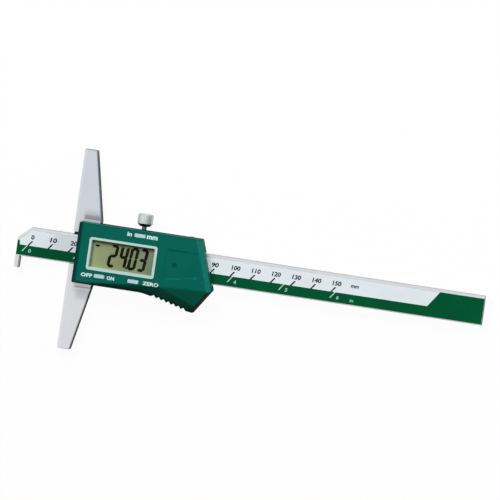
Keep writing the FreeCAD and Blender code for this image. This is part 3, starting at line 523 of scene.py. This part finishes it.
wears = {
    base_steel: ["base_frame"],
    beam_steel: ["beam"],
    plate_alloy: ["back_plate"],
    gib_brass: ["gib"],
    screw_steel: ["gib_screws", "keeper_screws", "board_screws", "housing_screws"],
    knurled_steel: ["lock_screw"],
    spring_steel: ["front_keeper", "rear_keeper"],
    board: ["scale_board", "main_board"],
    film_white: ["scale_label"],
    chip_black: ["controller_chip"],
    nickel: ["key_contacts", "battery_contact_negative", "battery_contact_positive"],
    rubber: ["zebra_strips"],
    black: ["lcd_holder", "battery_tray"],
    lcd_face: ["lcd_panel"],
    window: ["lcd_window"],
    bezel_white: ["lcd_bezel"],
    button_grey: ["on_off_button", "zero_button", "unit_button"],
    cell_steel: ["battery"],
    green: ["housing_cover"],
    lid_green: ["battery_lid"],
}
for mat, names in wears.items():
    for name in names:
        mesh = nodes[name].data
        mesh.materials.clear()
        mesh.materials.append(mat)


# ------------------------------------------------------------------ printed shapes
def put(name, mesh, mat, body):
    obj = bpy.data.objects.new(name, mesh)
    bpy.context.scene.collection.objects.link(obj)
    mesh.materials.append(mat)
    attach(obj, body)
    return obj


def flat_print(name, outlines, z, thick, mat, body):
    """One object of flat prisms, each from an anticlockwise outline."""
    bm = bmesh.new()
    for outline in outlines:
        low = [bm.verts.new((x * MM, y * MM, z * MM)) for x, y in outline]
        high = [bm.verts.new((x * MM, y * MM, (z + thick) * MM)) for x, y in outline]
        bm.faces.new(low[::-1])
        bm.faces.new(high)
        for i in range(len(outline)):
            j = (i + 1) % len(outline)
            bm.faces.new((low[i], low[j], high[j], high[i]))
    mesh = bpy.data.meshes.new(name)
    bm.to_mesh(mesh)
    bm.free()
    return put(name, mesh, mat, body)


def lettering(name, words, z, thick, mat, body, slant=0.0, weight=0.0):
    """One object of all words, each (text, left end, right end, centre y, height)."""
    bm = bmesh.new()
    for text, x0, x1, y, height in words:
        curve = bpy.data.curves.new(name, "FONT")
        curve.body = text
        curve.resolution_u = 3
        curve.fill_mode = "BOTH"
        curve.shear = slant
        curve.offset = weight
        curve.extrude = 0.5
        carrier = bpy.data.objects.new(name, curve)
        mesh = bpy.data.meshes.new_from_object(carrier)
        xs = [v.co.x for v in mesh.vertices]
        ys = [v.co.y for v in mesh.vertices]
        wide = (x1 - x0) / (max(xs) - min(xs))
        tall = height / (max(ys) - min(ys))
        middle = (min(ys) + max(ys)) / 2
        for v in mesh.vertices:
            level = z + thick if v.co.z > 0 else z
            v.co = Vector(((v.co.x - min(xs)) * wide + x0, (v.co.y - middle) * tall + y, level)) * MM
        bm.from_mesh(mesh)
        bpy.data.objects.remove(carrier)
        bpy.data.curves.remove(curve)
        bpy.data.meshes.remove(mesh)
    mesh = bpy.data.meshes.new(name)
    bmesh.ops.remove_doubles(bm, verts=bm.verts, dist=0.0005 * MM)
    bm.to_mesh(mesh)
    bm.free()
    return put(name, mesh, mat, body)


def stroke(x, y, run, rise, width):
    """Slanted bar with level ends that starts at (x, y), its middle line going by (run, rise)."""
    h = width / 2
    return [(x - h, y), (x + h, y), (x + run + h, y + rise), (x + run - h, y + rise)]


over_band = label_front + 0.006         # print on the green starts within the green's own thickness
text_slant = 0.1


def print_scale():
    """Green band and block, ticks and numbers on the white, inch marks and numbers on the green."""
    zero_x = beam_low.x + 6.1
    white_foot = -1.87                  # line between the white and the green
    block_foot_x, block_top_x = 176.5, 181.9
    step_x, step_y = label_low.x + 1.3, white_foot + 0.55
    corner_x, corner_y = label_low.x + 1.0, 0.35
    band = [(label_low.x, label_low.y), (label_high.x, label_low.y), (label_high.x, label_high.y),
            (block_top_x, label_high.y), (block_foot_x, white_foot), (step_x, white_foot), (step_x, step_y),
            (corner_x, corner_y), (label_low.x, corner_y)]
    flat_print("scale_band", [band], label_front, 0.008, film_green, "beam")

    tens = range(0, 160, 10)
    ticks = [stroke(zero_x + mm - 0.75, white_foot - 0.25, 2.0, 2.65, 0.92) for mm in tens]
    flat_print("scale_ticks", ticks, over_band, 0.008, ink_dark, "beam")

    width_of = {1: 1.6, 2: 3.5, 3: 4.4}         # by the count of digits
    end_of = {1: 2.0, 2: 3.2, 3: 3.95}          # right end, from the tick's place
    number_y, number_height, unit_height = 2.42, 2.3, 1.35
    numbers = []
    for mm in tens:
        text = str(mm)
        end = zero_x + mm + end_of[len(text)]
        numbers.append((text, end - width_of[len(text)], end, number_y, number_height))
    numbers.append(("mm", 138.2, 142.2, 2.1, unit_height))
    lettering("scale_numbers", numbers, label_front, 0.012, ink_dark, "beam",
              slant=text_slant, weight=0.038)

    inch = 25.4
    inch_xs = [zero_x + inch * i for i in range(7)]
    marks = [stroke(x - 3.2, white_foot - 3.0, 2.2, 3.0, 0.55) for x in inch_xs]
    flat_print("inch_marks", marks, over_band, 0.010, ink_mint, "beam")
    numbers = [(str(i), x - 0.2, x + 1.1, -4.36, 1.75) for i, x in enumerate(inch_xs)]
    numbers.append(("in", 138.6, 140.3, -4.8, unit_height))
    lettering("inch_numbers", numbers, over_band, 0.010, ink_mint, "beam",
              slant=text_slant, weight=0.014)


def print_housing():
    """Words beside the buttons."""
    words = [("OFF", 7.85, 13.4, -11.15, 1.85), ("ON", 20.65, 24.3, -11.15, 1.85),
             ("ZERO", 38.3, 46.2, -11.05, 1.85),
             ("in", 27.6, 29.9, 11.6, 2.0), ("mm", 37.3, 42.6, 11.35, 1.75)]
    lettering("housing_lettering", words, housing_front, 0.012, ink_white, "slider",
              weight=0.035)


SEGMENTS = {"2": "abged", "4": "fgbc", "0": "abcdef", "3": "abgcd"}
TALL_SEGMENTS = "bcef"


def segment(x, y, length, width, tall):
    """Six-sided bar about (x, y)."""
    a, h = length / 2, width / 2
    if tall:
        return [(x, y - a), (x + h, y - a + h), (x + h, y + a - h),
                (x, y + a), (x - h, y + a - h), (x - h, y - a + h)]
    return [(x - a, y), (x - a + h, y - h), (x + a - h, y - h),
            (x + a, y), (x + a - h, y + h), (x - a + h, y + h)]


def digit(char, x, y, wide, high, width):
    """Segments of a digit whose middle is at (x, y); wide and high are measured between the bars' middles."""
    w, h = wide / 2, high / 2
    gap, bite = 0.10, 0.35              # between two bars, and how far a bar runs into its neighbour's width
    places = {"a": (0, h), "g": (0, 0), "d": (0, -h), "b": (w, h / 2), "c": (w, -h / 2),
              "f": (-w, h / 2), "e": (-w, -h / 2)}
    bars = []
    for key in SEGMENTS[char]:
        tall = key in TALL_SEGMENTS
        length = (h if tall else wide) + width * bite - gap
        dx, dy = places[key]
        bars.append(segment(x + dx, y + dy, length, width, tall))
    return bars


def print_display():
    """The digits 24.03, leaning to the right, their point, and a minus sign in the corner."""
    middle_y, lean = -0.30, math.tan(math.radians(6.3))
    bars = []
    for char, x in zip("2403", (21.89, 27.05, 31.89, 36.55)):
        bars += digit(char, x, middle_y, 2.7, 9.9, 1.5)
    bars = [[(x + (y - middle_y) * lean, y) for x, y in bar] for bar in bars]
    point = [(28.6, -5.65), (29.6, -5.65), (29.7, -4.65), (28.7, -4.65)]
    minus = segment(13.8, 3.65, 2.5, 1.0, False)
    flat_print("display_digits", bars + [point, minus], panel_high.z, 0.02, lcd_dark, "slider")


print_scale()
print_housing()
print_display()


# ------------------------------------------------------------------ floor, light, camera
def make_floor():
    """White paper to the eye and in reflections; it throws little light back and keeps the shadow."""
    z = cad_box[0].z - 0.02 * MM
    reach, middle_x = 1.6, 0.08         # in metres
    bm = bmesh.new()
    bm.faces.new([bm.verts.new((sx * reach + middle_x, sy * reach, z))
                  for sx, sy in ((-1, -1), (1, -1), (1, 1), (-1, 1))])
    mesh = bpy.data.meshes.new("floor")
    bm.to_mesh(mesh)
    bm.free()
    floor = bpy.data.objects.new("floor", mesh)
    bpy.context.scene.collection.objects.link(floor)

    mat = bpy.data.materials.new("floor_paper")
    mat.use_nodes = True
    tree = mat.node_tree
    tree.nodes.clear()
    out = tree.nodes.new("ShaderNodeOutputMaterial")
    diffuse = tree.nodes.new("ShaderNodeBsdfDiffuse")
    glow = tree.nodes.new("ShaderNodeEmission")
    glow.inputs["Strength"].default_value = 1.0
    mix = tree.nodes.new("ShaderNodeMixShader")
    path = tree.nodes.new("ShaderNodeLightPath")
    for_light, for_gloss, for_eye, glow_share = 0.22, 0.60, 0.90, 0.96
    seen = mix_colour(tree, path.outputs["Is Glossy Ray"], (for_light,) * 3, (for_gloss,) * 3)
    seen = mix_colour(tree, path.outputs["Is Camera Ray"], seen, (for_eye,) * 3)
    link(tree, seen, diffuse.inputs["Color"])
    link(tree, math_node(tree, "MULTIPLY", path.outputs["Is Camera Ray"], glow_share), mix.inputs[0])
    link(tree, diffuse.outputs[0], mix.inputs[1])
    link(tree, glow.outputs[0], mix.inputs[2])
    link(tree, mix.outputs[0], out.inputs["Surface"])
    mesh.materials.append(mat)


def make_world():
    """A soft light, brighter towards the upper left; the room is white to the eye and pale in metal."""
    world = bpy.data.worlds.new("studio")
    bpy.context.scene.world = world
    world.use_nodes = True
    tree = world.node_tree
    tree.nodes.clear()
    out = tree.nodes.new("ShaderNodeOutputWorld")
    back = tree.nodes.new("ShaderNodeBackground")
    back.inputs["Color"].default_value = (*WHITE, 1.0)
    path = tree.nodes.new("ShaderNodeLightPath")
    reflected = math_node(tree, "ADD", path.outputs["Is Glossy Ray"], path.outputs["Is Transmission Ray"],
                          True)
    towards = project(tree, "Generated", (-0.45, 0.35, 0.80))
    soft = map_range(tree, towards, (-0.2, 0.9), (0.02, 0.18))
    bright = map_range(tree, towards, (-0.1, 0.8), (0.40, 1.0))
    extra = math_node(tree, "MULTIPLY", math_node(tree, "SUBTRACT", bright, soft), reflected)
    strength = math_node(tree, "ADD", soft, extra)
    strength = math_node(tree, "MAXIMUM", strength, path.outputs["Is Camera Ray"])
    link(tree, strength, back.inputs["Strength"])
    link(tree, back.outputs[0], out.inputs["Surface"])


def make_lamp(name, place, power):
    """A square soft box that doesn't show in gloss, where it would bleach the steel."""
    target, size = Vector((0.05, 0.0, 0.0)), 0.6
    data = bpy.data.lights.new(name, "AREA")
    data.shape = "RECTANGLE"
    data.size = data.size_y = size
    data.energy = power
    lamp = bpy.data.objects.new(name, data)
    bpy.context.scene.collection.objects.link(lamp)
    lamp.location = place
    lamp.rotation_mode = "QUATERNION"
    lamp.rotation_quaternion = (target - Vector(place)).to_track_quat("-Z", "Y")
    lamp.visible_glossy = False


def make_camera():
    """A long view from above, a little to the right, turned so that the beam runs down to the right."""
    lean_x, lean_y, roll = 0.14, 0.055, 0.1493
    frame_px, pixels_per_mm = 500.0, 2.0634
    origin_px = (71.90, 248.01)         # where the shared frame's origin lies in the picture
    back = Vector((lean_x, lean_y, math.sqrt(1.0 - lean_x ** 2 - lean_y ** 2)))
    side = Vector((math.cos(roll), math.sin(roll), 0.0))
    side = (side - back * side.dot(back)).normalized()
    up = back.cross(side)
    right_by = (frame_px / 2 - origin_px[0]) / pixels_per_mm * MM
    up_by = (origin_px[1] - frame_px / 2) / pixels_per_mm * MM
    data = bpy.data.cameras.new("camera")
    data.type = "ORTHO"
    data.ortho_scale = frame_px / pixels_per_mm * MM
    data.clip_start, data.clip_end = 0.01, 10.0
    cam = bpy.data.objects.new("camera", data)
    bpy.context.scene.collection.objects.link(cam)
    rotation = Matrix((side, up, back)).transposed()
    cam.matrix_world = Matrix.Translation(side * right_by + up * up_by + back * 0.9) @ rotation.to_4x4()
    bpy.context.scene.camera = cam


make_floor()
make_world()
make_lamp("key", (-0.31, 0.72, 0.89), 12.6)
make_lamp("right", (1.01, 0.54, 0.48), 7.8)
make_camera()
bpy.context.scene.view_settings.view_transform = "Standard"
